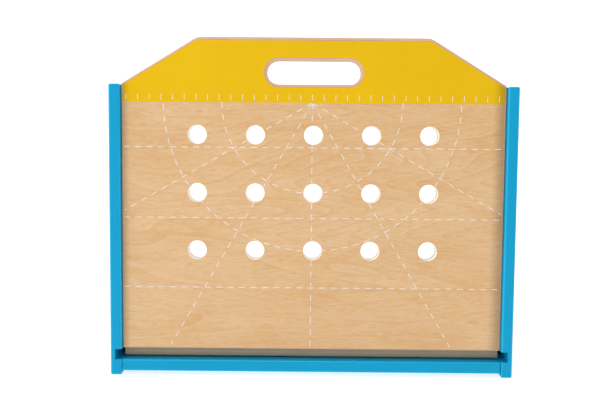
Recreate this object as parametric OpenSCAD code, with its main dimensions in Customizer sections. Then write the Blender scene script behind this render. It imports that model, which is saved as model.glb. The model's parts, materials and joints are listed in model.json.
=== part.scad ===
// A child's carrying bench: a birch peg board with a hand hold stands between
// two side boards and a bottom board, and a plain board slides out underneath.
// X runs across the bench, -Y faces the user, +Z is up.
// The origin is on the floor, at the middle of the bench.

/* [Case] */
// Width over the outer faces of the two side boards
case_w = 351.5; // [330:0.5:420]
// Depth from the front edges to the back edges
case_d = 120; // [90:1:180]
// Height of the side boards
side_h = 253.3; // [247:0.1:300]
// Thickness of the side boards
side_t = 10.1; // [9.5:0.1:14]
// Thickness of the bottom board
base_t = 10.4; // [9:0.1:12]
// Gap between the floor and the bottom board
base_lift = 3.6; // [2:0.1:6]
// Radius of the rounded arrises on the painted boards
arris_r = 2.3; // [0.5:0.1:2.5]

/* [Peg board] */
// Thickness of the peg board
panel_t = 12; // [12:0.5:15]
// How far the peg board's face sits behind the front edges
panel_setback = 4; // [2:0.5:10]
// Height of the peg board's bottom edge over the floor
panel_bottom = 23.4; // [23.4:0.1:30]
// Height of the peg board's top edge over the floor
panel_top = 293.9; // [285:0.1:320]
// Height at which the sloping shoulders start
shoulder_z = 253.6; // [240:0.1:270]
// Length of the straight top edge between the shoulders
crown_w = 200; // [140:1:240]

/* [Peg holes] */
// Diameter of every peg hole
hole_d = 16; // [10:0.5:18]
// Distance between neighbouring peg holes, across and up
hole_pitch = 50; // [40:0.5:52]
// Number of peg holes in a row
hole_columns = 5; // [3:2:5]
// Number of rows of peg holes
hole_rows = 3; // [1:1:3]
// Height of the top row over the floor
top_row_z = 210.5; // [190:0.5:215]

/* [Hand hold] */
// Length of the hand hold
slot_w = 80.6; // [75:0.2:110]
// Height of the hand hold
slot_h = 20.2; // [20:0.2:26]
// Height of the hand hold's middle over the floor
slot_z = 263.9; // [262.5:0.1:268]

/* [Sliding board] */
// Thickness of the sliding board
slider_t = 8; // [6:0.5:8]
// How far the sliding board's front edge rests behind the front edges
slider_setback = 12; // [5:0.5:15]
// Length of the plain front part, before the tongues start
slider_nose = 16; // [10:1:30]
// Depth of the grooves in the side boards
groove_depth = 6; // [5:0.1:6.5]
// Distance between a groove's blind end and the back edges
groove_stop = 8; // [5:1:20]
// Clearance round the sliding board
slide_gap = 0.5; // [0.3:0.05:0.5]

/* [Fasteners] */
// Length of each wood screw
screw_l = 40; // [35:1:45]
// Diameter of a wood screw's shank
screw_d = 4; // [3.5:0.1:4.5]
// Diameter of a wood screw's countersunk head
head_d = 7.6; // [7:0.1:8]
// Diameter of each dowel
dowel_d = 6; // [5:0.5:7]
// Length of each dowel
dowel_l = 30; // [24:1:36]
// Clearance round each screw and dowel
fit_gap = 0.05; // [0.02:0.01:0.1]

/* [Hidden] */
$fn = 64;
eps = 0.01;

inner_w = case_w - 2 * side_t;
inner_x = inner_w / 2;
front_y = -case_d / 2;
back_y = case_d / 2;
base_top = base_lift + base_t;
base_mid_z = base_lift + base_t / 2;

panel_front_y = front_y + panel_setback;
panel_mid_y = panel_front_y + panel_t / 2;

groove_z = base_top;
groove_h = slider_t + 2 * slide_gap;
groove_end_y = back_y - groove_stop;
slider_front_y = front_y + slider_setback;
slider_back_y = groove_end_y - slide_gap;
slider_z = groove_z + slide_gap;

// Screws and dowels share the edges of the peg board and the bottom board
panel_screw_z = [48, 134, 226];
panel_dowel_z = [76, 186];
base_screw_y = [-case_d * 0.3, case_d * 0.3];
base_dowel_y = [-case_d * 0.12, case_d * 0.12];
head_h = (head_d - screw_d) / 2 + 0.4;
head_rim = 0.4;
dowel_in_side = 6.5;
recess_w = 1.1;
recess_l = 4.4;
recess_depth = 1.8;
tip_l = 6;
dowel_chamfer = 0.8;

blue = [0.11, 0.65, 0.84];
birch = [0.90, 0.75, 0.58];
pale_ply = [0.80, 0.68, 0.52];
steel = [0.72, 0.73, 0.75];
beech = [0.86, 0.70, 0.52];

// A flat rectangle with round corners, its middle at the origin
module round_rect(w, h, r) {
    square([w - 2 * r, h], center = true);
    square([w, h - 2 * r], center = true);
    for (sx = [-1, 1], sy = [-1, 1])
        translate([sx * (w / 2 - r), sy * (h / 2 - r)]) circle(r);
}

// A board standing on z = 0 whose three outlines all have round corners
module soft_board(w, d, h, r) {
    translate([0, 0, h / 2])
        intersection() {
            linear_extrude(h, center = true) round_rect(w, d, r);
            rotate([90, 0, 0]) linear_extrude(d, center = true) round_rect(w, h, r);
            rotate([90, 0, 90]) linear_extrude(w, center = true) round_rect(d, h, r);
        }
}

// A rod along X, from its outer end at x towards the middle of the bench
module rod_inwards(x, y, z, d, l) {
    translate([x - l, y, z]) rotate([0, 90, 0]) cylinder(d = d, h = l);
}

module screw_hole(y, z) {
    clear_d = screw_d + 2 * fit_gap;
    sink_d = head_d + 2 * fit_gap;
    outer_x = case_w / 2;
    rod_inwards(outer_x + eps, y, z, clear_d, screw_l + fit_gap + eps);
    rod_inwards(outer_x + eps, y, z, sink_d, head_rim + eps);
    translate([outer_x - head_h - fit_gap, y, z])
        rotate([0, 90, 0]) cylinder(d1 = clear_d, d2 = sink_d, h = head_h + fit_gap - head_rim);
}

module dowel_hole(y, z) {
    rod_inwards(inner_x + dowel_in_side + fit_gap, y, z,
        dowel_d + 2 * fit_gap, dowel_l + 2 * fit_gap);
}

// Every hole that joins one side board to the boards between
module joinery_holes() {
    for (z = panel_screw_z) screw_hole(panel_mid_y, z);
    for (z = panel_dowel_z) dowel_hole(panel_mid_y, z);
    for (y = base_screw_y) screw_hole(y, base_mid_z);
    for (y = base_dowel_y) dowel_hole(y, base_mid_z);
}

module both_sides() {
    children();
    mirror([1, 0, 0]) children();
}

module side_board() {
    color(blue)
        difference() {
            translate([inner_x + side_t / 2, 0, 0]) soft_board(side_t, case_d, side_h, arris_r);
            translate([inner_x - eps, front_y - eps, groove_z])
                cube([groove_depth + eps, groove_end_y - front_y + eps, groove_h]);
            joinery_holes();
        }
}

module bottom_board() {
    color(blue)
        difference() {
            translate([0, 0, base_mid_z])
                rotate([90, 0, 90])
                    linear_extrude(inner_w, center = true) round_rect(case_d, base_t, arris_r);
            both_sides() joinery_holes();
        }
}

module panel_outline() {
    polygon([
        [-inner_x, panel_bottom], [inner_x, panel_bottom],
        [inner_x, shoulder_z], [crown_w / 2, panel_top],
        [-crown_w / 2, panel_top], [-inner_x, shoulder_z]
    ]);
}

module hand_hold() {
    reach = (slot_w - slot_h) / 2;
    translate([0, slot_z]) {
        square([2 * reach, slot_h], center = true);
        for (side = [-1, 1]) translate([side * reach, 0]) circle(d = slot_h);
    }
}

module peg_board() {
    first_x = -hole_pitch * (hole_columns - 1) / 2;
    color(birch)
        difference() {
            translate([0, panel_front_y + panel_t, 0])
                rotate([90, 0, 0])
                    linear_extrude(panel_t)
                        difference() {
                            panel_outline();
                            hand_hold();
                        }
            for (column = [0 : hole_columns - 1], row = [0 : hole_rows - 1])
                translate([first_x + column * hole_pitch, panel_mid_y, top_row_z - row * hole_pitch])
                    rotate([90, 0, 0]) cylinder(d = hole_d, h = panel_t + 2, center = true);
            both_sides() joinery_holes();
        }
}

module sliding_board() {
    nose_x = inner_x - slide_gap;
    tongue_x = inner_x + groove_depth - slide_gap;
    tongue_y = slider_front_y + slider_nose;
    color(pale_ply)
        translate([0, 0, slider_z])
            linear_extrude(slider_t) {
                translate([-nose_x, slider_front_y])
                    square([2 * nose_x, slider_back_y - slider_front_y]);
                translate([-tongue_x, tongue_y])
                    square([2 * tongue_x, slider_back_y - tongue_y]);
            }
}

// A countersunk wood screw, its head flush with the right side board
module wood_screw(y, z) {
    color(steel)
        translate([case_w / 2, y, z])
            rotate([0, -90, 0])
                difference() {
                    union() {
                        cylinder(d = head_d, h = head_rim);
                        translate([0, 0, head_rim])
                            cylinder(d1 = head_d, d2 = screw_d, h = head_h - head_rim);
                        cylinder(d = screw_d, h = screw_l - tip_l);
                        translate([0, 0, screw_l - tip_l])
                            cylinder(d1 = screw_d, d2 = 0.6, h = tip_l);
                    }
                    for (turn = [0, 90])
                        rotate([0, 0, turn])
                            translate([0, 0, recess_depth / 2 - eps])
                                cube([recess_l, recess_w, recess_depth], center = true);
                }
}

module dowel(y, z) {
    color(beech)
        translate([inner_x + dowel_in_side, y, z])
            rotate([0, -90, 0]) {
                cylinder(d1 = dowel_d - 2 * dowel_chamfer, d2 = dowel_d, h = dowel_chamfer);
                translate([0, 0, dowel_chamfer])
                    cylinder(d = dowel_d, h = dowel_l - 2 * dowel_chamfer);
                translate([0, 0, dowel_l - dowel_chamfer])
                    cylinder(d1 = dowel_d, d2 = dowel_d - 2 * dowel_chamfer, h = dowel_chamfer);
            }
}

module panel_screws() {
    for (z = panel_screw_z) wood_screw(panel_mid_y, z);
}

module base_screws() {
    for (y = base_screw_y) wood_screw(y, base_mid_z);
}

module panel_dowels() {
    for (z = panel_dowel_z) dowel(panel_mid_y, z);
}

module base_dowels() {
    for (y = base_dowel_y) dowel(y, base_mid_z);
}

module to_left() {
    mirror([1, 0, 0]) children();
}

module left_side_board() { to_left() side_board(); }
module right_side_board() { side_board(); }
module left_panel_screws() { to_left() panel_screws(); }
module right_panel_screws() { panel_screws(); }
module left_base_screws() { to_left() base_screws(); }
module right_base_screws() { base_screws(); }
module left_panel_dowels() { to_left() panel_dowels(); }
module right_panel_dowels() { panel_dowels(); }
module left_base_dowels() { to_left() base_dowels(); }
module right_base_dowels() { base_dowels(); }

left_side_board();
right_side_board();
bottom_board();
peg_board();
sliding_board();
left_panel_screws();
right_panel_screws();
left_base_screws();
right_base_screws();
left_panel_dowels();
right_panel_dowels();
left_base_dowels();
right_base_dowels();
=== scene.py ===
"""A child's carrying bench: blue side boards and bottom board, a birch peg board with a yellow top,
printed with a centimetre ruler and a protractor, and a plain board that slides out underneath.
Metres, +Z up, -Y is the front."""

import json
import math

import bmesh
import bpy
from mathutils import Matrix, Vector
from mathutils.geometry import delaunay_2d_cdt


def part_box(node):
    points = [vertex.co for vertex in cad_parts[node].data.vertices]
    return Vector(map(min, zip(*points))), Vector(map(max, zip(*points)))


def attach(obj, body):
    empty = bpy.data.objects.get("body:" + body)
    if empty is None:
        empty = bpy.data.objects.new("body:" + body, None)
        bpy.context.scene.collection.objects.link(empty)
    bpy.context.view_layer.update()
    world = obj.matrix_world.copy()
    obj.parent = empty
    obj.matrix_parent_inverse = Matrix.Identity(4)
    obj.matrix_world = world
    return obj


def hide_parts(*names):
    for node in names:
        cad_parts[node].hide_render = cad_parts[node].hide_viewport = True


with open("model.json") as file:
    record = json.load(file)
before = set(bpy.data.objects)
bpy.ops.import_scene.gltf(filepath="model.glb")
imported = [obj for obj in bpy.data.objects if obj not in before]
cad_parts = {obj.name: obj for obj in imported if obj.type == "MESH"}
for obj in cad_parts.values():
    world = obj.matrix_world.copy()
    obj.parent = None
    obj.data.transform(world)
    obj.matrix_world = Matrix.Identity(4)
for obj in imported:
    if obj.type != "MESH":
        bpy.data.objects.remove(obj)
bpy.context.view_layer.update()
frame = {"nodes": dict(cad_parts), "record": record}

# ---------------------------------------------------------------- sizes
MM = 0.001
ARC_STEPS = 6
MERGE_DISTANCE = 0.0001 * MM

# Radii of the rounded arrises.
PAINTED_ARRIS = 2.3 * MM
SLOT_ARRIS = 2.6 * MM
SLIDER_ARRIS = 1.6 * MM
PANEL_FOOT_ARRIS = 0.9 * MM
PANEL_SIDE_ARRIS = 2.2 * MM
SHOULDER_ARRIS = 1.9 * MM
CROWN_ARRIS = 3.0 * MM
HOLE_ARRIS = 0.25 * MM
GROOVE_LIP = 0.7 * MM

# The peg board's outline, its hand hold and the height where the yellow paint starts.
CROWN_HALF = 100 * MM
CROWN_CORNER = 12 * MM
PANEL_CORNER = 3 * MM
PANEL_FOOT_CORNER = 1.5 * MM
SHOULDER_Z = 253.6 * MM
SLOT_LENGTH = 80.6 * MM
SLOT_HEIGHT = 20.2 * MM
SLOT_MIDDLE_Z = 263.9 * MM
PAINT_EDGE_Z = 238.1 * MM

base_lo, base_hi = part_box("bottom_board")
panel_lo, panel_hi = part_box("peg_board")
slider_lo, slider_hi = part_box("sliding_board")
mounts = {m["name"]: m for m in frame["record"]["mounts"]}

# The sliding board's play between the side boards, and how far back its full-width tongues start.
GROOVE_GAP = 0.5 * MM
SLIDER_NOSE = 16 * MM


# ---------------------------------------------------------------- camera
CAMERA_X = -9.3 * MM
CAMERA_HEIGHT = 208.0 * MM
CAMERA_DISTANCE = 686.0 * MM
# Angles in degrees, lens and sensor in millimetres.
CAMERA_PITCH = 4.42
CAMERA_YAW = -0.15
CAMERA_ROLL = 0.49
LENS = 48.0
SENSOR = 36.0
CLIP_NEAR = 0.01
CLIP_FAR = 50


def make_camera():
    """Looks along +Y at the bench's front, a little down and a little off level."""
    pitch, yaw, roll = (math.radians(a) for a in (CAMERA_PITCH, CAMERA_YAW, CAMERA_ROLL))
    ahead = Vector((math.sin(yaw) * math.cos(pitch), math.cos(yaw) * math.cos(pitch), -math.sin(pitch)))
    level = Vector((math.cos(yaw), -math.sin(yaw), 0))
    upright = level.cross(ahead)
    right = level * math.cos(roll) + upright * math.sin(roll)
    up = upright * math.cos(roll) - level * math.sin(roll)
    data = bpy.data.cameras.new("camera")
    data.lens = LENS
    data.sensor_width = SENSOR
    data.clip_start = CLIP_NEAR
    data.clip_end = CLIP_FAR
    camera = bpy.data.objects.new("camera", data)
    bpy.context.scene.collection.objects.link(camera)
    place = Matrix((right, up, -ahead)).transposed().to_4x4()
    place.translation = (CAMERA_X, base_lo.y - CAMERA_DISTANCE, CAMERA_HEIGHT)
    camera.matrix_world = place
    bpy.context.scene.camera = camera


make_camera()


# ---------------------------------------------------------------- node helpers
# The tone that painted shade darkens colours towards.
SIDE_SHADE_TONE = (0.42, 0.42, 0.42)
# The Mix node has a set of sockets for each kind of data. These are the factor, A and B of a colour mix.
MIX_COLOUR_INPUTS = (0, 6, 7)
MIX_COLOUR_OUTPUT = 2


def tint(colour, factor):
    """A colour with its channels scaled, by one factor or by one for each channel."""
    factors = factor if isinstance(factor, tuple) else (factor, factor, factor)
    return tuple(min(1, c * k) for c, k in zip(colour, factors))


class Nodes:
    """Short names for building one material."""

    def __init__(self, name):
        self.material = bpy.data.materials.new(name)
        self.material.use_nodes = True
        self.tree = self.material.node_tree
        self.shader = self.tree.nodes["Principled BSDF"]
        self.place = self.add("ShaderNodeTexCoord").outputs["Object"]

    def add(self, kind, **values):
        """A new node with the given properties."""
        node = self.tree.nodes.new(kind)
        for key, value in values.items():
            setattr(node, key, value)
        return node

    def link(self, source, target):
        self.tree.links.new(source, target)

    def stretch(self, scale, shift=(0, 0, 0)):
        """Places on the piece, scaled along each axis and shifted."""
        node = self.add("ShaderNodeMapping")
        node.inputs["Scale"].default_value = scale
        node.inputs["Location"].default_value = shift
        self.link(self.place, node.inputs["Vector"])
        return node.outputs["Vector"]

    def noise(self, scale, detail=3.0, roughness=0.55, distortion=0.0, shift=(0, 0, 0)):
        """Noise from 0 to 1, with scale cells to the metre along each axis."""
        node = self.add("ShaderNodeTexNoise")
        node.inputs["Scale"].default_value = 1.0
        node.inputs["Detail"].default_value = detail
        node.inputs["Roughness"].default_value = roughness
        node.inputs["Distortion"].default_value = distortion
        self.link(self.stretch(scale, shift), node.inputs["Vector"])
        return node.outputs["Fac"]

    def ramp(self, fac, stops):
        """A colour ramp. stops are (position, colour)."""
        node = self.add("ShaderNodeValToRGB")
        band = node.color_ramp
        while len(band.elements) < len(stops):
            band.elements.new(0.5)
        for element, (where, colour) in zip(band.elements, stops):
            element.position = where
            element.color = (*colour, 1)
        self.link(fac, node.inputs["Fac"])
        return node.outputs["Color"]

    def mix(self, fac, a, b, blend="MIX"):
        """Colour a mixed towards colour b by fac. Each of the three is a value or a socket."""
        node = self.add("ShaderNodeMix", data_type="RGBA", blend_type=blend)
        sockets = [node.inputs[index] for index in MIX_COLOUR_INPUTS]
        for value, socket in zip((fac, a, b), sockets):
            if isinstance(value, (float, int)):
                socket.default_value = value
            elif isinstance(value, tuple):
                socket.default_value = (*value, 1)
            else:
                self.link(value, socket)
        return node.outputs[MIX_COLOUR_OUTPUT]

    def maths(self, operation, a, b=0.0, c=0.0):
        """One arithmetic operation on numbers or sockets."""
        node = self.add("ShaderNodeMath", operation=operation)
        for value, socket in zip((a, b, c), node.inputs):
            if isinstance(value, (float, int)):
                socket.default_value = value
            else:
                self.link(value, socket)
        return node.outputs[0]

    def remap(self, fac, low, high, out_low=0.0, out_high=1.0):
        """The range low to high stretched to out_low to out_high, and clamped there."""
        node = self.add("ShaderNodeMapRange")
        self.link(fac, node.inputs["Value"])
        node.inputs["From Min"].default_value = low
        node.inputs["From Max"].default_value = high
        node.inputs["To Min"].default_value = out_low
        node.inputs["To Max"].default_value = out_high
        return node.outputs["Result"]

    def painted_side_shade(self, colour, rims):
        """Painted shade: darkens a colour towards given X places, where the side boards shadow the peg
        board.
        rims are (x where it starts, x where it is full, strength)."""
        split = self.add("ShaderNodeSeparateXYZ")
        self.link(self.place, split.inputs[0])
        for start, full, strength in rims:
            rim = self.remap(split.outputs[0], start, full, 0.0, strength)
            rim.node.interpolation_type = "SMOOTHSTEP"
            colour = self.mix(rim, colour, SIDE_SHADE_TONE, blend="MULTIPLY")
        return colour

    def bump(self, height, strength, distance, normal=None):
        """A surface normal tilted by a height."""
        node = self.add("ShaderNodeBump")
        node.inputs["Strength"].default_value = strength
        node.inputs["Distance"].default_value = distance
        self.link(height, node.inputs["Height"])
        if normal is not None:
            self.link(normal, node.inputs["Normal"])
        return node.outputs["Normal"]

    def finish(self, colour, roughness, normal=None, **sockets):
        """The finished material. Further sockets are named with _ for each space."""
        self.link(colour, self.shader.inputs["Base Color"])
        if isinstance(roughness, float):
            self.shader.inputs["Roughness"].default_value = roughness
        else:
            self.link(roughness, self.shader.inputs["Roughness"])
        if normal is not None:
            self.link(normal, self.shader.inputs["Normal"])
        for name, value in sockets.items():
            self.shader.inputs[name.replace("_", " ")].default_value = value
        return self.material


# ---------------------------------------------------------------- materials
GROWTH_LINES = 38.0
GROWTH_CONTRAST = 0.30
VENEER_WARMTH = (1.0, 0.90, 0.66)
RING_FIELD = (2.6, 2.6, 13)
AGE_FIELD = (2.2, 2.2, 15)
CLOUD_FIELD = (12, 12, 40)
FIBRE_FIELD = (170, 170, 1300)
STREAK_FIELD = (120, 120, 900)
WARMTH_FIELD = (34, 34, 210)
FLECK_FIELD = (150, 150, 2600)
RINGS = 120.0
RING_STRENGTH = 0.035
# The glue line's share of a ply, and an even count that keeps the ply numbers above zero.
GLUE_LINE = 0.07
PLY_OFFSET = 100.0
# A face square on to an axis has plain paint. A painted highlight on the arrises grows between these
# slants.
ARRIS_HIGHLIGHT_FROM = 0.95
ARRIS_HIGHLIGHT_TO = 0.78
ARRIS_HIGHLIGHT_STRENGTH = 0.7

BORE_PALE = (0.98, 0.92, 0.82)
BORE_DARK = (0.94, 0.85, 0.73)
BORE_PORES = (0.70, 0.53, 0.38)
BORE_BACK_DARK = (0.34, 0.28, 0.23)
INK_WHITE = (0.86, 0.85, 0.85)
INK_WORN = (0.72, 0.63, 0.55)
STEEL_BLUISH = (0.55, 0.56, 0.57)
STEEL_YELLOWISH = (0.68, 0.67, 0.63)
BEECH_PALE = (0.74, 0.53, 0.34)
BEECH_DARK = (0.52, 0.32, 0.18)
BEECH_RAY = (0.38, 0.21, 0.11)


def birch_veneer(name, pale, mid, dark, rims=()):
    """Rotary-cut birch: wavy growth lines along X, fine broken fibres and a few short flecks."""
    n = Nodes(name)
    field = n.noise(RING_FIELD, detail=2.0, roughness=0.45, distortion=0.3, shift=(3.1, 0, 1.7))
    rings = n.maths("SINE", n.maths("MULTIPLY", field, RINGS))
    age = n.noise(AGE_FIELD, detail=2.0, roughness=0.33, distortion=0.15, shift=(5, 0, 3))
    grown = n.maths("FRACT", n.maths("MULTIPLY", age, GROWTH_LINES))
    clouds = n.noise(CLOUD_FIELD, detail=5.0, roughness=0.62, distortion=0.4)
    figure = n.maths("ADD", n.maths("MULTIPLY", rings, RING_STRENGTH), clouds)
    colour = n.ramp(figure, [(0.2, dark), (0.5, mid), (0.8, pale)])
    fibre = n.noise(FIBRE_FIELD, detail=2.0, roughness=0.8)
    colour = n.mix(n.remap(fibre, 0.45, 0.72, 0.0, 0.75), colour, pale)
    streak = n.noise(STREAK_FIELD, detail=3.0, roughness=0.8, shift=(1.3, 0, 0.4))
    colour = n.mix(n.remap(streak, 0.50, 0.74, 0.0, 0.9), colour, dark)
    colour = n.mix(n.remap(grown, 0.72, 0.95, 0.0, GROWTH_CONTRAST), colour, pale)
    colour = n.mix(n.remap(grown, 0.30, 0.04, 0.0, GROWTH_CONTRAST), colour, dark)
    warmth = n.noise(WARMTH_FIELD, detail=3.0, roughness=0.6, shift=(0.2, 0, 2.3))
    colour = n.mix(n.remap(warmth, 0.46, 0.70, 0.0, 0.3), colour, tint(mid, VENEER_WARMTH))
    fleck = n.noise(FLECK_FIELD, detail=1.0, shift=(0.7, 0, 0.2))
    colour = n.mix(n.remap(fleck, 0.66, 0.78, 0.0, 0.35), colour, dark)
    # Painted shade towards the side boards.
    colour = n.painted_side_shade(colour, rims)
    normal = n.bump(fibre, 0.12, 0.05 * MM)
    return n.finish(colour, n.remap(figure, 0.3, 0.7, 0.46, 0.56), normal, Specular_IOR_Level=0.35)


def ply_edge(name, axis, near, far, plies, pale, dark):
    """The sawn edge of plywood, whose plies run along and across in turn with thin glue lines between.
    near and far are the places of the board's two faces on the axis (0, 1 or 2)."""
    n = Nodes(name)
    split = n.add("ShaderNodeSeparateXYZ")
    n.link(n.place, split.inputs[0])
    wobble = n.remap(n.noise((30, 30, 30), detail=1.0), 0.0, 1.0, -0.12, 0.12)
    depth = n.maths("MULTIPLY", n.maths("SUBTRACT", split.outputs[axis], near), plies / (far - near))
    depth = n.maths("ADD", depth, wobble)
    ply_number = n.maths("ADD", n.maths("FLOOR", depth), PLY_OFFSET)
    along = n.maths("MODULO", ply_number, 2.0)
    within = n.maths("FRACT", depth)
    streak = n.noise((120, 120, 120), detail=4.0, roughness=0.7)
    halfway = tuple((a + b) / 2 for a, b in zip(pale, dark))
    light = n.mix(n.remap(streak, 0.3, 0.7), tint(pale, 0.93), pale)
    deep = n.mix(n.remap(streak, 0.3, 0.7), dark, halfway)
    colour = n.mix(along, light, deep)
    seam = n.maths("LESS_THAN", within, GLUE_LINE)
    colour = n.mix(n.maths("MULTIPLY", seam, 0.45), colour, tint(dark, 0.55))
    normal = n.bump(n.noise((400, 400, 400), detail=2.0), 0.15, 0.08 * MM)
    return n.finish(colour, 0.6, normal, Specular_IOR_Level=0.3)


def paint(name, colour, highlight_colour, gloss, grain, rims=()):
    """Sprayed paint over plywood: tiny colour drift, orange peel and the grain just showing through.
    A painted highlight makes the arrises paler, and rims add painted shade."""
    n = Nodes(name)
    drift = n.noise((14, 14, 14), detail=3.0)
    fibre = n.noise(grain, detail=3.0, roughness=0.65)
    shade = n.mix(n.remap(drift, 0.3, 0.7), tint(colour, 0.97), tint(colour, 1.03))
    shade = n.mix(n.remap(fibre, 0.55, 0.8, 0.0, 0.12), shade, tint(colour, 0.88))
    # Painted highlight: paler where the surface slants away from the axes, on the arrises.
    facing = n.add("ShaderNodeVectorMath", operation="ABSOLUTE")
    n.link(n.add("ShaderNodeTexCoord").outputs["Normal"], facing.inputs[0])
    split = n.add("ShaderNodeSeparateXYZ")
    n.link(facing.outputs[0], split.inputs[0])
    level = n.maths("MAXIMUM", split.outputs[0], split.outputs[1])
    flat = n.maths("MAXIMUM", level, split.outputs[2])
    arris_highlight = n.remap(flat, ARRIS_HIGHLIGHT_FROM, ARRIS_HIGHLIGHT_TO, 0.0, ARRIS_HIGHLIGHT_STRENGTH)
    shade = n.mix(arris_highlight, shade, highlight_colour)
    # Painted shade towards the side boards.
    shade = n.painted_side_shade(shade, rims)
    peel = n.noise((650, 650, 650), detail=1.0)
    rough = n.remap(drift, 0.3, 0.7, gloss - 0.03, gloss + 0.05)
    normal = n.bump(peel, 0.06, 0.05 * MM, n.bump(fibre, 0.10, 0.06 * MM))
    return n.finish(shade, rough, normal, Specular_IOR_Level=0.16)


def bore(name, back_y, ring):
    """The sanded wall of a drilled hole: pale end grain with fine rings left by the drill.
    The last stretch before back_y, ring metres long, is darker."""
    n = Nodes(name)
    pores = n.noise((900, 500, 900), detail=3.0, roughness=0.7)
    tone = n.noise((90, 1400, 90), detail=2.0)
    colour = n.mix(n.remap(tone, 0.35, 0.7), BORE_PALE, BORE_DARK)
    colour = n.mix(n.remap(pores, 0.6, 0.75, 0.0, 0.3), colour, BORE_PORES)
    split = n.add("ShaderNodeSeparateXYZ")
    n.link(n.place, split.inputs[0])
    # Darker over the last stretch towards the back of the hole.
    back_darkening = n.remap(split.outputs[1], back_y - ring, back_y - ring / 2, 0.0, 0.9)
    colour = n.mix(back_darkening, colour, BORE_BACK_DARK)
    return n.finish(colour, 0.6, n.bump(pores, 0.1, 0.04 * MM), Specular_IOR_Level=0.2)


def ink(name):
    """Thin white screen print, a little worn where the grain stands up."""
    n = Nodes(name)
    wear = n.noise((60, 60, 1400), detail=3.0)
    colour = n.mix(n.remap(wear, 0.45, 0.75, 0.0, 0.5), INK_WHITE, INK_WORN)
    return n.finish(colour, 0.55, n.bump(wear, 0.1, 0.03 * MM))


def steel(name):
    """Zinc-plated steel with a faint yellow-blue drift and an uneven gloss."""
    n = Nodes(name)
    drift = n.noise((300, 300, 300), detail=3.0)
    colour = n.mix(n.remap(drift, 0.3, 0.7), STEEL_BLUISH, STEEL_YELLOWISH)
    rough = n.remap(n.noise((900, 900, 900), detail=2.0), 0.3, 0.7, 0.26, 0.42)
    return n.finish(colour, rough, n.bump(drift, 0.08, 0.05 * MM), Metallic=1.0)


def beech(name):
    """Raw beech dowel: fine fibres along X with short dark rays."""
    n = Nodes(name)
    fibre = n.noise((60, 900, 900), detail=3.0)
    colour = n.ramp(fibre, [(0.3, BEECH_DARK), (0.7, BEECH_PALE)])
    ray = n.noise((500, 2600, 2600), detail=1.0)
    colour = n.mix(n.remap(ray, 0.62, 0.75, 0.0, 0.5), colour, BEECH_RAY)
    return n.finish(colour, 0.65, n.bump(fibre, 0.15, 0.05 * MM))


BLUE = (0.0, 0.335, 0.595)
# The paler blue of the painted highlight on the arrises.
BLUE_ARRIS_HIGHLIGHT = (0.02, 0.52, 0.86)
YELLOW = (0.77, 0.47, 0.0)
# The paler yellow of the painted highlight on the arrises.
YELLOW_ARRIS_HIGHLIGHT = (0.80, 0.55, 0.10)
BIRCH_PALE = (0.75, 0.525, 0.315)
BIRCH_MID = (0.70, 0.455, 0.235)
BIRCH_DARK = (0.63, 0.33, 0.12)
SLIDER_PALE = (0.80, 0.60, 0.38)
SLIDER_MID = (0.70, 0.50, 0.30)
SLIDER_DARK = (0.60, 0.41, 0.23)
PANEL_PLY_PALE = (0.72, 0.45, 0.30)
PANEL_PLY_DARK = (0.60, 0.36, 0.23)
# The sliding board's edge: partly the plywood edge's own colour, darkened and greyed as painted shade from
# the peg board above it.
SLIDER_SHADED_PLY_PALE = (0.45, 0.375, 0.265)
SLIDER_SHADED_PLY_DARK = (0.39, 0.315, 0.215)

BLUE_GLOSS = 0.36
YELLOW_GLOSS = 0.40
BLUE_GRAIN = (30, 500, 60)
YELLOW_GRAIN = (24, 24, 700)
PANEL_PLIES = 9
SLIDER_PLIES = 5
# How far the hole wall darkens towards its back.
DARK_BACK_RING = 3.0 * MM
# Painted shade on the peg board beside the side boards, wider and stronger on the right.
LEFT_SIDE_SHADE = (panel_lo.x + 8 * MM, panel_lo.x + 1 * MM, 0.42)
RIGHT_SIDE_SHADE = (panel_hi.x - 13 * MM, panel_hi.x - 2 * MM, 0.62)
PANEL_SIDE_SHADE = [LEFT_SIDE_SHADE, RIGHT_SIDE_SHADE]

blue_paint = paint("blue_paint", BLUE, BLUE_ARRIS_HIGHLIGHT, BLUE_GLOSS, BLUE_GRAIN)
yellow_paint = paint("yellow_paint", YELLOW, YELLOW_ARRIS_HIGHLIGHT, YELLOW_GLOSS, YELLOW_GRAIN, PANEL_SIDE_SHADE)
veneer = birch_veneer("birch_veneer", BIRCH_PALE, BIRCH_MID, BIRCH_DARK, PANEL_SIDE_SHADE)
slider_veneer = birch_veneer("slider_veneer", SLIDER_PALE, SLIDER_MID, SLIDER_DARK)
panel_edge = ply_edge(
    "panel_edge", 1, panel_lo.y, panel_hi.y, PANEL_PLIES, PANEL_PLY_PALE, PANEL_PLY_DARK)
slider_edge = ply_edge(
    "slider_edge", 2, slider_lo.z, slider_hi.z, SLIDER_PLIES, SLIDER_SHADED_PLY_PALE, SLIDER_SHADED_PLY_DARK)
hole_wall = bore("hole_wall", panel_hi.y, DARK_BACK_RING)
white_ink = ink("white_ink")
screw_steel = steel("screw_steel")
dowel_beech = beech("dowel_beech")


# ---------------------------------------------------------------- outlines
def arc(centre, radius, start, stop, steps):
    """Points along an arc, both ends included. Angles in degrees."""
    points = []
    for i in range(steps + 1):
        a = math.radians(start + (stop - start) * i / steps)
        points.append(Vector((centre[0] + radius * math.cos(a), centre[1] + radius * math.sin(a))))
    return points


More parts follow.
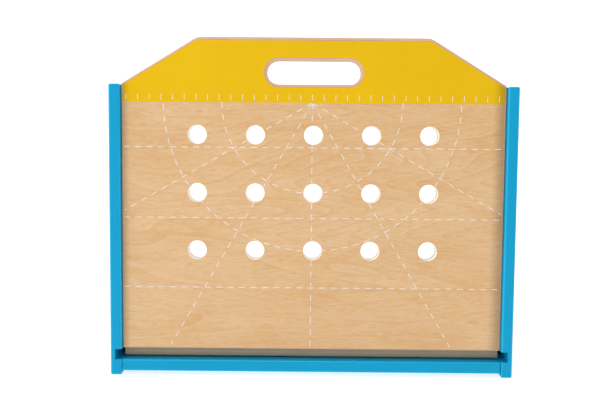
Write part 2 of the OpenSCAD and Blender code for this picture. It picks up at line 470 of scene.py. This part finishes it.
def fillet(before, corner, after, radius, steps=ARC_STEPS):
    """The points of an outline's corner, rounded to a radius."""
    corner = Vector(corner)
    to_before = (Vector(before) - corner).normalized()
    to_after = (Vector(after) - corner).normalized()
    half = to_before.angle(to_after) / 2
    centre = corner + (to_before + to_after).normalized() * (radius / math.sin(half))
    first = corner + to_before * (radius / math.tan(half))
    last = corner + to_after * (radius / math.tan(half))
    start = math.atan2(first.y - centre.y, first.x - centre.x)
    turn = math.atan2(last.y - centre.y, last.x - centre.x) - start
    turn = (turn + math.pi) % (2 * math.pi) - math.pi
    return arc(centre, radius, math.degrees(start), math.degrees(start + turn), steps)


def rounded(corners):
    """A closed outline from (x, y, radius) corners; a radius of 0 leaves the corner sharp."""
    points = []
    for i, (x, y, radius) in enumerate(corners):
        if radius:
            after = corners[(i + 1) % len(corners)]
            points += fillet(corners[i - 1][:2], (x, y), after[:2], radius)
        else:
            points.append(Vector((x, y)))
    return points


def circle_hole(x, y, radius, steps=48):
    return arc((x, y), radius, 360, 360 / steps, steps - 1)


def slot_hole(x, y, length, height, steps=20):
    reach, radius = (length - height) / 2, height / 2
    return arc((x + reach, y), radius, 90, -90, steps) + arc((x - reach, y), radius, -90, -270, steps)


def inset(loop, distances):
    """The outline moved into the material, which lies to the left of the way the points run."""
    moved = []
    for i, (point, distance) in enumerate(zip(loop, distances)):
        a = (point - loop[i - 1]).normalized()
        b = (loop[(i + 1) % len(loop)] - point).normalized()
        na, nb = Vector((-a.y, a.x)), Vector((-b.y, b.x))
        moved.append(point + (na + nb) * (distance / (1 + na.dot(nb))))
    return moved


def inside(point, loop):
    """True if a point lies inside a closed outline."""
    hit = False
    for i, b in enumerate(loop):
        a = loop[i - 1]
        if (a.y > point.y) != (b.y > point.y):
            if point.x < (b.x - a.x) * (point.y - a.y) / (b.y - a.y) + a.x:
                hit = not hit
    return hit


# ---------------------------------------------------------------- boards
def slab(name, loops, near, far, lift, materials, face_slot, cuts=()):
    """A board with rounded arrises. loops are (outline, arris radius, material of the edge), the outer
    one first, and an arris radius may be a function of the point. near and far are the depths of the
    two faces, lift(u, v, depth) gives the place in space, and face_slot(u, v) the material of a piece
    of flat face. cuts are extra lines that the faces are split at."""
    mesh = bmesh.new()
    rims = {True: [], False: []}
    for loop, arris, edge_slot in loops:
        radii = [arris(p) if callable(arris) else arris for p in loop]
        rings = []
        for is_near in (True, False):
            steps = range(ARC_STEPS + 1) if is_near else range(ARC_STEPS, -1, -1)
            for k in steps:
                a = math.radians(90 * k / ARC_STEPS)
                flat = inset(loop, [r * (1 - math.sin(a)) for r in radii])
                ring = []
                for p, r in zip(flat, radii):
                    deep = r * (1 - math.cos(a))
                    depth = near + deep if is_near else far - deep
                    ring.append(mesh.verts.new(lift(p.x, p.y, depth)))
                rings.append(ring)
                if k == 0:
                    rims[is_near].append((flat, ring))
        for ring, following in zip(rings, rings[1:]):
            for i in range(len(ring)):
                quad = mesh.faces.new((ring[i - 1], ring[i], following[i], following[i - 1]))
                quad.material_index = edge_slot
    for is_near, rim in rims.items():
        depth = near if is_near else far
        points, corners, edges = [], [], []
        for flat, verts in rim:
            first = len(points)
            points += flat
            corners += verts
            edges += [(first + i, first + (i + 1) % len(flat)) for i in range(len(flat))]
        for a, b in cuts:
            edges.append((len(points), len(points) + 1))
            points += [Vector(a), Vector(b)]
            corners += [None, None]
        out, _, faces, origin, _, _ = delaunay_2d_cdt(points, edges, [], 0, MERGE_DISTANCE)
        made = []
        for where, sources in zip(out, origin):
            known = [corners[s] for s in sources if corners[s] is not None]
            made.append(known[0] if known else mesh.verts.new(lift(where.x, where.y, depth)))
        outer, holes = rim[0][0], [flat for flat, _ in rim[1:]]
        for face in faces:
            middle = sum((out[i] for i in face), Vector((0, 0))) / len(face)
            if not inside(middle, outer) or any(inside(middle, hole) for hole in holes):
                continue
            made_face = mesh.faces.new([made[i] for i in face])
            made_face.material_index = face_slot(middle.x, middle.y)
    bmesh.ops.recalc_face_normals(mesh, faces=mesh.faces)
    return to_object(name, mesh, materials)


def to_object(name, mesh, materials):
    """An object in the scene made from a bmesh, shaded smooth."""
    data = bpy.data.meshes.new(name)
    mesh.to_mesh(data)
    mesh.free()
    for material in materials:
        data.materials.append(material)
    data.shade_smooth()
    piece = bpy.data.objects.new(name, data)
    bpy.context.scene.collection.objects.link(piece)
    return piece


def flat_faces_stay_flat(piece):
    """Shades by face area, so the large flat faces stay flat beside the rounded arrises."""
    shade = piece.modifiers.new("even_shading", "WEIGHTED_NORMAL")
    shade.weight = 100
    shade.keep_sharp = True


def upright(x, z, y):
    """For a board that stands: drawn in X and Z, thick along Y."""
    return (x, y, z)


def lying(x, y, z):
    """For a board that lies flat: drawn in X and Y, thick along Z."""
    return (x, y, z)


def settle(piece, body, slot_name, *nodes):
    """Puts a piece on its body, in place of the named CAD nodes. slot_name is not used."""
    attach(piece, body)
    if nodes:
        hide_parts(*nodes)
    return piece


# ---------------------------------------------------------------- the peg board
EDGE_SLOT, VENEER_SLOT, YELLOW_SLOT, HOLE_SLOT = range(4)

centre_hole = mounts["centre_peg_hole"]
hole_radius = centre_hole["dims"]["r_mm"] * MM
hole_pitch = mounts["inner_peg_holes"]["dims"]["spacing_x_mm"] * MM / 2
hole_centres = [
    (centre_hole["pos_m"][0] + column * hole_pitch, centre_hole["pos_m"][2] + row * hole_pitch)
    for row in (1, 0, -1)
    for column in (-2, -1, 0, 1, 2)
]


def panel_arris(point):
    """Nearly square along the bottom edge, round up the sides, tighter on the shoulders, and roundest
    on the crown."""
    steps = [
        (panel_lo.z, PANEL_FOOT_ARRIS), (panel_lo.z + PANEL_CORNER, PANEL_SIDE_ARRIS),
        (SHOULDER_Z - 2 * PANEL_CORNER, PANEL_SIDE_ARRIS), (SHOULDER_Z, SHOULDER_ARRIS),
        (panel_hi.z - PANEL_CORNER, SHOULDER_ARRIS), (panel_hi.z, CROWN_ARRIS),
    ]
    for (low, before), (high, after) in zip(steps, steps[1:]):
        if point.y <= high:
            return before + (after - before) * max(0.0, (point.y - low) / (high - low))
    return CROWN_ARRIS


def peg_board():
    half = panel_hi.x
    outline = rounded([
        (-half, panel_lo.z, PANEL_FOOT_CORNER),
        (half, panel_lo.z, PANEL_FOOT_CORNER),
        (half, PAINT_EDGE_Z, 0),
        (half, SHOULDER_Z, PANEL_CORNER),
        (CROWN_HALF, panel_hi.z, CROWN_CORNER),
        (-CROWN_HALF, panel_hi.z, CROWN_CORNER),
        (-half, SHOULDER_Z, PANEL_CORNER),
        (-half, PAINT_EDGE_Z, 0),
    ])
    hand_hold = slot_hole(0, SLOT_MIDDLE_Z, SLOT_LENGTH, SLOT_HEIGHT)
    loops = [(outline, panel_arris, EDGE_SLOT), (hand_hold, SLOT_ARRIS, EDGE_SLOT)]
    loops += [(circle_hole(x, z, hole_radius), HOLE_ARRIS, HOLE_SLOT) for x, z in hole_centres]
    edge = half - PANEL_SIDE_ARRIS
    split = [((-edge, PAINT_EDGE_Z), (edge, PAINT_EDGE_Z))]
    board = slab(
        "peg_board_birch", loops, panel_lo.y, panel_hi.y, upright,
        [panel_edge, veneer, yellow_paint, hole_wall],
        lambda x, z: YELLOW_SLOT if z > PAINT_EDGE_Z else VENEER_SLOT, split)
    flat_faces_stay_flat(board)
    settle(board, "carcass", "birch_plywood", "peg_board")


peg_board()


# ---------------------------------------------------------------- the print
DASH = 5.3 * MM
DASH_PERIOD = 10 * MM
LINE_WIDTH = 0.51 * MM
TICK_WIDTH = 0.38 * MM
TICK_LOW_Z = 240.1 * MM
TICK_LENGTH = 4.9 * MM
TICK_COUNT = 33
TICKS_BESIDE_MIDDLE = TICK_COUNT // 2
INK_THICKNESS = 0.05 * MM
INK_PROUD = 0.7 * INK_THICKNESS
INK_SUNK = 0.3 * INK_THICKNESS
PRINT_SHIFT = -1.1 * MM
LEVEL_LINES_Z = [199.7 * MM, 138.7 * MM, 77.8 * MM]
RAY_ANGLES = [30, 60, 90, 120, 150]
RAY_LENGTH = 250 * MM
PRINT_FOOT_Z = 25.8 * MM
HOLE_MARGIN = 0.3 * MM
RAY_SEARCH_STEP = 0.1 * MM
PROTRACTOR_CENTRE = Vector((PRINT_SHIFT, PAINT_EDGE_Z))
# Each arc of dashes is its radius and the degrees from one dash to the next.
ARC_DASHES = [(77.6 * MM, 8.05), (127.9 * MM, 4.41)]


class Print:
    """Thin strokes of ink on the front of the peg board, clear of its holes."""

    def __init__(self):
        self.mesh = bmesh.new()
        self.front = panel_lo.y - INK_PROUD
        self.back = panel_lo.y + INK_SUNK

    def on_board(self, p):
        return abs(p.x) < panel_hi.x - PANEL_SIDE_ARRIS and p.y > PRINT_FOOT_Z

    def in_hole(self, p):
        return any(math.hypot(p.x - x, p.y - z) < hole_radius + HOLE_MARGIN for x, z in hole_centres)

    def clear(self, p):
        return self.on_board(p) and not self.in_hole(p)

    def stroke(self, points, width):
        """A ribbon of ink along points, as a closed solid."""
        if len(points) < 2:
            return
        rows = []
        for i, p in enumerate(points):
            ahead = (points[min(i + 1, len(points) - 1)] - points[max(i - 1, 0)]).normalized()
            side = Vector((-ahead.y, ahead.x)) * width / 2
            a, b = p + side, p - side
            corners = [
                (a.x, self.front, a.y), (b.x, self.front, b.y),
                (b.x, self.back, b.y), (a.x, self.back, a.y),
            ]
            rows.append([self.mesh.verts.new(corner) for corner in corners])
        for row, following in zip(rows, rows[1:]):
            for k in range(4):
                self.mesh.faces.new((row[k], row[k - 1], following[k - 1], following[k]))
        self.mesh.faces.new(rows[0])
        self.mesh.faces.new(rows[-1][::-1])

    def dash(self, path, start, stop, steps=6):
        """One dash from start to stop along path(distance), leaving out what falls in a hole."""
        run = []
        for i in range(steps + 1):
            p = path(start + (stop - start) * i / steps)
            if self.clear(p):
                run.append(p)
            else:
                self.stroke(run, LINE_WIDTH)
                run = []
        self.stroke(run, LINE_WIDTH)

    def line(self, path, first, last):
        """Dashes that start every period from first on."""
        count = int((last - first) / DASH_PERIOD) + 1
        for i in range(count):
            start = first + i * DASH_PERIOD
            self.dash(path, start, min(start + DASH, last))

    def ray(self, path, last):
        """Dashes outwards from the protractor's centre, which start afresh behind every hole on the way."""
        start = 0.0
        while start < last:
            self.dash(path, start, min(start + DASH, last))
            following = start + DASH_PERIOD
            while start < following:
                start += RAY_SEARCH_STEP
                if self.in_hole(path(start)):
                    following = start + RAY_SEARCH_STEP


def level_path(z):
    """Distance to the right of the print's middle line, to a point at one height."""
    return lambda d: Vector((PRINT_SHIFT + d, z))


def ray_path(angle):
    """Distance from the protractor's centre, to a point on a ray. Angles below the level, in degrees."""
    way = Vector((math.cos(math.radians(angle)), -math.sin(math.radians(angle))))
    return lambda d: PROTRACTOR_CENTRE + way * d


def arc_path(radius):
    """Distance along an arc from its lowest point, to a point on it."""
    return lambda d: PROTRACTOR_CENTRE + Vector((math.sin(d / radius), -math.cos(d / radius))) * radius


def ruler_ticks(ink_on):
    for i in range(TICK_COUNT):
        x = PRINT_SHIFT + (i - TICKS_BESIDE_MIDDLE) * DASH_PERIOD
        low = Vector((x, TICK_LOW_Z))
        ink_on.stroke([low, low + Vector((0, TICK_LENGTH))], TICK_WIDTH)


def level_lines(ink_on):
    reach = TICKS_BESIDE_MIDDLE * DASH_PERIOD + DASH / 2
    for z in LEVEL_LINES_Z:
        ink_on.line(level_path(z), -reach, reach)


def protractor(ink_on):
    for angle in RAY_ANGLES:
        ink_on.ray(ray_path(angle), RAY_LENGTH)
    for radius, turn in ARC_DASHES:
        count = int(90 / turn)
        for i in range(-count, count + 1):
            middle = radius * math.radians(i * turn)
            ink_on.dash(arc_path(radius), middle - DASH / 2, middle + DASH / 2)


def printed_lines():
    ink_on = Print()
    ruler_ticks(ink_on)
    level_lines(ink_on)
    protractor(ink_on)
    bmesh.ops.recalc_face_normals(ink_on.mesh, faces=ink_on.mesh.faces)
    lines = to_object("printed_ruler_and_protractor", ink_on.mesh, [white_ink])
    lines.data.shade_flat()
    settle(lines, "carcass", "birch_plywood")


printed_lines()


# ---------------------------------------------------------------- the painted boards
def bottom_board():
    half = base_hi.x
    corners = [
        (-half, base_lo.z, 0), (half, base_lo.z, 0),
        (half, base_hi.z, 0), (-half, base_hi.z, 0),
    ]
    board = slab(
        "bottom_board_blue", [(rounded(corners), PAINTED_ARRIS, 0)], base_lo.y, base_hi.y, upright,
        [blue_paint], lambda x, z: 0)
    flat_faces_stay_flat(board)
    settle(board, "carcass", "blue_painted_wood", "bottom_board")


bottom_board()


def sliding_board():
    tongue = slider_hi.x
    nose = base_hi.x - GROOVE_GAP
    shoulder = slider_lo.y + SLIDER_NOSE
    corners = [
        (-nose, slider_lo.y, 0), (nose, slider_lo.y, 0),
        (nose, shoulder, 0), (tongue, shoulder, 0),
        (tongue, slider_hi.y, 0), (-tongue, slider_hi.y, 0),
        (-tongue, shoulder, 0), (-nose, shoulder, 0),
    ]
    board = slab(
        "sliding_board_ply", [(rounded(corners), SLIDER_ARRIS, 0)], slider_lo.z, slider_hi.z, lying,
        [slider_edge, slider_veneer], lambda x, y: 1)
    flat_faces_stay_flat(board)
    settle(board, "slider", "plain_plywood", "sliding_board")


sliding_board()


def dress_cad(names, material):
    """Gives CAD nodes a material."""
    for name in names:
        node = frame["nodes"][name]
        node.data.materials.clear()
        node.data.materials.append(material)


SIDE_BOARDS = ["left_side_board", "right_side_board"]
WELD_DISTANCE = 0.001 * MM
LIP_SEGMENTS = 3
LIP_ANGLE = 50


def soften(names):
    """Rounded lips on the grooves and countersinks of the side boards."""
    for name in names:
        node = frame["nodes"][name]
        node.data.shade_smooth()
        weld = node.modifiers.new("one_skin", "WELD")
        weld.merge_threshold = WELD_DISTANCE
        lips = node.modifiers.new("rounded_lips", "BEVEL")
        lips.width = GROOVE_LIP
        lips.segments = LIP_SEGMENTS
        lips.limit_method = "ANGLE"
        lips.angle_limit = math.radians(LIP_ANGLE)
        flat_faces_stay_flat(node)


dress_cad(SIDE_BOARDS, blue_paint)
soften(SIDE_BOARDS)
dress_cad([n for n in frame["nodes"] if n.endswith("_screws")], screw_steel)
dress_cad([n for n in frame["nodes"] if n.endswith("_dowels")], dowel_beech)


# ---------------------------------------------------------------- studio
FLOOR_WIDTH = 9.0
FLOOR_FRONT = -4.0
FLOOR_Z = -0.2 * MM
FLOOR_GLOW = 0.76
COVE_START = 1.4
COVE_RADIUS = 1.2
COVE_STEPS = 16
WALL_TOP = 4.0
FLOOR_TONES = [(0.48, 0.48, 0.48), (0.52, 0.52, 0.52)]
# The sky's strength at the horizon and overhead, and the heights of view direction between which it fades.
SKY_LOW = 1.0
SKY_HIGH = 0.33
SKY_FADE_FROM = 0.2
SKY_FADE_TO = 0.5
LIGHT_TARGET = (0, 0, 0.15)
# Each lamp's name, place, target, size in metres and power in watts.
LAMPS = [
    ("wing_left", (-1.5, -0.5, 0.6), LIGHT_TARGET, 1.0, 6.5),
    ("wing_right", (1.5, -0.5, 0.6), LIGHT_TARGET, 1.0, 0.8),
    ("overhead", (-0.45, -0.45, 1.65), LIGHT_TARGET, 1.2, 10),
    ("backdrop_left", (-1.6, 1.2, 2.6), (-1.2, 2.6, 0.6), 1.2, 15),
    ("backdrop_right", (1.6, 1.2, 2.6), (1.2, 2.6, 0.6), 1.2, 15),
]


def studio_floor():
    """A pale floor that curves up into a pale wall."""
    profile = [(FLOOR_FRONT, FLOOR_Z)]
    cove = arc((COVE_START, COVE_RADIUS), COVE_RADIUS, -90, 0, COVE_STEPS)
    profile += [(p.x, p.y + FLOOR_Z) for p in cove]
    profile.append((COVE_START + COVE_RADIUS, WALL_TOP))
    mesh = bmesh.new()
    rows = [[mesh.verts.new((side * FLOOR_WIDTH / 2, y, z)) for side in (-1, 1)] for y, z in profile]
    for row, following in zip(rows, rows[1:]):
        mesh.faces.new((row[0], row[1], following[1], following[0]))
    n = Nodes("pale_floor")
    tone = n.noise((3, 3, 3), detail=2.0)
    colour = n.mix(n.remap(tone, 0.3, 0.7), *FLOOR_TONES)
    glow = {"Emission_Color": (1, 1, 1, 1), "Emission_Strength": FLOOR_GLOW}
    floor = to_object("studio_floor", mesh, [n.finish(colour, 0.9, Specular_IOR_Level=0.1, **glow)])


def area_light(name, place, target, size, power):
    """A round white lamp that faces its target."""
    data = bpy.data.lights.new(name, "AREA")
    data.shape = "DISK"
    data.size = size
    data.energy = power
    light = bpy.data.objects.new(name, data)
    light.location = place
    light.rotation_mode = "QUATERNION"
    light.rotation_quaternion = (Vector(target) - Vector(place)).to_track_quat("-Z", "Y")
    bpy.context.scene.collection.objects.link(light)


def studio_sky():
    """A white sky that is bright at the horizon and darker overhead."""
    world = bpy.data.worlds.new("studio")
    world.use_nodes = True
    tree = world.node_tree
    background = tree.nodes["Background"]
    background.inputs["Color"].default_value = (1.0, 1.0, 1.0, 1)
    split = tree.nodes.new("ShaderNodeSeparateXYZ")
    tree.links.new(tree.nodes.new("ShaderNodeTexCoord").outputs["Generated"], split.inputs[0])
    fade = tree.nodes.new("ShaderNodeMapRange")
    tree.links.new(split.outputs["Z"], fade.inputs["Value"])
    fade.inputs["From Min"].default_value = SKY_FADE_FROM
    fade.inputs["From Max"].default_value = SKY_FADE_TO
    fade.inputs["To Min"].default_value = SKY_LOW
    fade.inputs["To Max"].default_value = SKY_HIGH
    tree.links.new(fade.outputs["Result"], background.inputs["Strength"])
    bpy.context.scene.world = world


studio_floor()
studio_sky()
for lamp in LAMPS:
    area_light(*lamp)
bpy.context.scene.view_settings.view_transform = "Standard"
